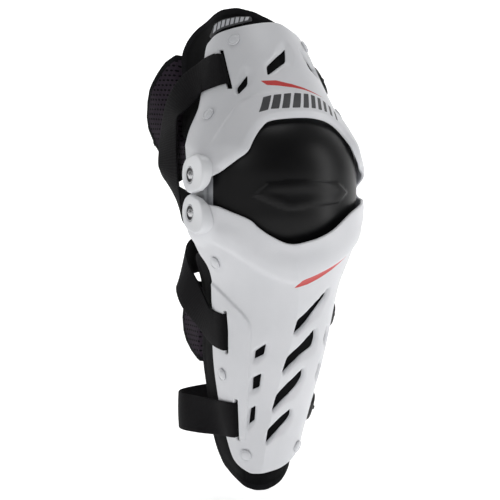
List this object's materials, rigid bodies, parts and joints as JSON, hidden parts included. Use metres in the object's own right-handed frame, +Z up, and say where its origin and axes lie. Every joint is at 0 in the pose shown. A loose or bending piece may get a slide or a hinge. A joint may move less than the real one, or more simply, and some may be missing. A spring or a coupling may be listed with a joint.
{
  "type": "hinged knee and shin guard",
  "caption": "White moulded knee and shin guard with a black knee cup on double hinges, padded liners, mesh wings and three elastic straps with moulded hooks.",
  "frame": {"origin": "centre of the knee, midway between the two hinge axes and on the guard's middle plane", "axes": "+Z up along the leg, -Y to the front of the knee, +X to the wearer's other leg (this is a left-leg guard)"},
  "size_m": [0.1832, 0.1933, 0.4606],
  "materials": {
    "shell_white": "satin moulded",
    "cap_white": "satin moulded",
    "rivet_white": "moulded button",
    "cup_black": "satin moulded",
    "pad_black": "brushed knit over foam",
    "wing_mesh": "perforated mesh",
    "strap_elastic": "woven elastic",
    "hook_black": "moulded",
    "steel": "brushed",
    "washer_nylon": "moulded",
    "badge": "rubber print, silver on black"
  },
  "bodies": {
    "knee": {"knee_cup": "cup_black", "knee_pad": "pad_black", "hinge_screw_upper_outer": "steel", "hinge_washer_upper_outer": "washer_nylon", "hinge_nut_upper_outer": "steel", "hinge_screw_upper_inner": "steel", "hinge_washer_upper_inner": "washer_nylon", "hinge_nut_upper_inner": "steel", "hinge_screw_lower_outer": "steel", "hinge_washer_lower_outer": "washer_nylon", "hinge_nut_lower_outer": "steel", "hinge_screw_lower_inner": "steel", "hinge_washer_lower_inner": "washer_nylon", "hinge_nut_lower_inner": "steel"},
    "thigh": {"thigh_shell": "shell_white", "thigh_rivet_1": "rivet_white", "thigh_rivet_2": "rivet_white", "thigh_rivet_3": "rivet_white", "thigh_rivet_4": "rivet_white", "hinge_cap_upper_outer": "cap_white", "hinge_cap_upper_inner": "cap_white", "thigh_liner": "pad_black", "thigh_wing_outer": "wing_mesh", "thigh_wing_inner": "wing_mesh", "liner_badge": "badge", "thigh_strap": "strap_elastic", "thigh_stud": "hook_black"},
    "shin": {"shin_shell": "shell_white", "shin_rivet_1": "rivet_white", "shin_rivet_2": "rivet_white", "shin_rivet_3": "rivet_white", "shin_rivet_4": "rivet_white", "shin_rivet_5": "rivet_white", "shin_rivet_6": "rivet_white", "hinge_cap_lower_outer": "cap_white", "hinge_cap_lower_inner": "cap_white", "shin_liner": "pad_black", "calf_wing_outer": "wing_mesh", "calf_wing_inner": "wing_mesh", "upper_calf_strap": "strap_elastic", "lower_calf_strap": "strap_elastic", "upper_calf_stud": "hook_black", "lower_calf_stud": "hook_black"},
    "thigh_hook": {"thigh_hook": "hook_black"},
    "upper_calf_hook": {"upper_calf_hook": "hook_black"},
    "lower_calf_hook": {"lower_calf_hook": "hook_black"}
  },
  "joints": [
    {"name": "thigh_hinge", "type": "hinge", "parent": "knee", "child": "thigh", "pos_m": [0, -0.01, 0.0175], "axis": [1, 0, 0], "range_deg": [-40, 6], "deforming": ["thigh_strap"]},
    {"name": "shin_hinge", "type": "hinge", "parent": "knee", "child": "shin", "pos_m": [0, -0.01, -0.0175], "axis": [1, 0, 0], "range_deg": [-6, 40], "deforming": ["upper_calf_strap"]},
    {"name": "thigh_hook_swing", "type": "hinge", "parent": "thigh", "child": "thigh_hook", "pos_m": [0.06153, 0.02727, 0.10577], "axis": [-0.26, 0.3607, 0.8957], "range_deg": [0, 50]},
    {"name": "upper_calf_hook_swing", "type": "hinge", "parent": "shin", "child": "upper_calf_hook", "pos_m": [0.06062, 0.00445, -0.11784], "axis": [0.1256, -0.0628, 0.9901], "range_deg": [0, 50]},
    {"name": "lower_calf_hook_swing", "type": "hinge", "parent": "shin", "child": "lower_calf_hook", "pos_m": [0.04561, 0.0112, -0.20851], "axis": [0.1957, -0.1423, 0.9703], "range_deg": [0, 50]}
  ]
}
